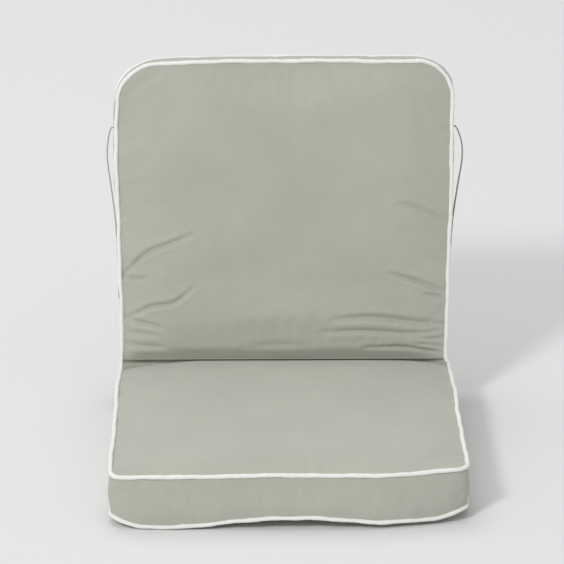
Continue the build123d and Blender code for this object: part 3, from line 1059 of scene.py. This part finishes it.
class CushionStudio(bpy.types.PropertyGroup):
    """Floor, lights and camera."""

    floor_grey: FloatProperty(name="Floor grey", description="Lightness of the paper, as a display value",
                              default=0.892, min=0, max=1, subtype="FACTOR")
    key_power: FloatProperty(name="Key light", description="Power of the large light in front on the left",
                             default=330.0, min=0, unit="POWER")
    top_power: FloatProperty(name="Top light", description="Power of the light overhead",
                             default=92.0, min=0, unit="POWER")
    ambient: FloatProperty(name="Ambient", description="Strength of the even light from the room",
                           default=0.57, min=0, max=2, subtype="FACTOR")
    azimuth: FloatProperty(name="Azimuth", description="Camera's turn to the right of straight ahead",
                           default=math.radians(-0.73), subtype="ANGLE", unit="ROTATION")
    elevation: FloatProperty(name="Elevation", description="Camera's angle above level",
                             default=math.radians(18.3), subtype="ANGLE", unit="ROTATION")
    distance: FloatProperty(name="Distance", description="Camera to the point it aims at",
                            default=6.267, min=0.5, subtype="DISTANCE", unit="LENGTH")
    lens: FloatProperty(name="Lens", description="Focal length", default=283.5, min=20, unit="CAMERA")
    aim: FloatVectorProperty(name="Aim", description="Point that the camera looks at",
                             default=(-0.0073, 0.0, 0.2790), size=3, subtype="XYZ", unit="LENGTH")


class CUSHION_OT_seat(bpy.types.Operator):
    """Make the seat's cover, filling and foam"""

    bl_idname = "cushion.seat"
    bl_label = "Seat cushion"

    def execute(self, context):
        shape = context.scene.cushion_shape
        make_half(SEAT, along=(7 * MM, 7.5 * MM, 60 * MM), crown=shape.seat_crown, belly=2 * MM,
                  turn=8 * MM, shape=shape)
        return {"FINISHED"}


class CUSHION_OT_back(bpy.types.Operator):
    """Make the back's cover, filling and foam"""

    bl_idname = "cushion.back"
    bl_label = "Back cushion"

    def execute(self, context):
        shape = context.scene.cushion_shape
        make_half(BACK, along=(4.6 * MM, 7.5 * MM, 150 * MM), crown=shape.back_crown, belly=7 * MM,
                  turn=28 * MM, shape=shape)
        return {"FINISHED"}


class CUSHION_OT_piping(bpy.types.Operator):
    """Make the three runs of piping and the cords inside them"""

    bl_idname = "cushion.piping"
    bl_label = "Piping"

    def execute(self, context):
        make_piping(context.scene.cushion_shape.piping_wander)
        return {"FINISHED"}


class CUSHION_OT_fold_seam(bpy.types.Operator):
    """Make the rolled seam that joins seat and back"""

    bl_idname = "cushion.fold_seam"
    bl_label = "Fold seam"

    def execute(self, context):
        make_fold_seam()
        return {"FINISHED"}


class CUSHION_OT_ties(bpy.types.Operator):
    """Make the two ties that hang beside the back"""

    bl_idname = "cushion.ties"
    bl_label = "Ties"

    def execute(self, context):
        make_tie(-1, "left", 1)
        make_tie(1, "right", 2)
        return {"FINISHED"}


class CUSHION_OT_fittings(bpy.types.Operator):
    """Give the gussets, zips and label their materials"""

    bl_idname = "cushion.fittings"
    bl_label = "Zips and label"

    def execute(self, context):
        dress_cad()
        return {"FINISHED"}


class CUSHION_OT_stage(bpy.types.Operator):
    """Make the floor, the lights and the camera"""

    bl_idname = "cushion.stage"
    bl_label = "Stage"

    def execute(self, context):
        make_stage(context.scene.cushion_studio)
        return {"FINISHED"}


OPERATORS = (CUSHION_OT_seat, CUSHION_OT_back, CUSHION_OT_piping, CUSHION_OT_fold_seam, CUSHION_OT_ties,
             CUSHION_OT_fittings, CUSHION_OT_stage)


class CUSHION_PT_panel(bpy.types.Panel):
    """Sizes and buttons for the cushion"""

    bl_label = "Cushion"
    bl_idname = "CUSHION_PT_panel"
    bl_space_type = "VIEW_3D"
    bl_region_type = "UI"
    bl_category = "Cushion"

    def draw(self, context):
        for group in (context.scene.cushion_shape, context.scene.cushion_studio):
            for name in group.bl_rna.properties.keys():
                if name not in ("rna_type", "name"):
                    self.layout.prop(group, name)
        for operator in OPERATORS:
            self.layout.operator(operator.bl_idname)


CLASSES = (CushionShape, CushionStudio) + OPERATORS + (CUSHION_PT_panel,)


def register():
    for cls in CLASSES:
        bpy.utils.register_class(cls)
    bpy.types.Scene.cushion_shape = PointerProperty(type=CushionShape)
    bpy.types.Scene.cushion_studio = PointerProperty(type=CushionStudio)


def unregister():
    del bpy.types.Scene.cushion_studio
    del bpy.types.Scene.cushion_shape
    for cls in reversed(CLASSES):
        bpy.utils.unregister_class(cls)


def main():
    register()
    bpy.ops.cushion.seat()
    bpy.ops.cushion.back()
    bpy.ops.cushion.piping()
    bpy.ops.cushion.fold_seam()
    bpy.ops.cushion.ties()
    bpy.ops.cushion.fittings()
    bpy.ops.cushion.stage()


if __name__ == "__main__":
    main()
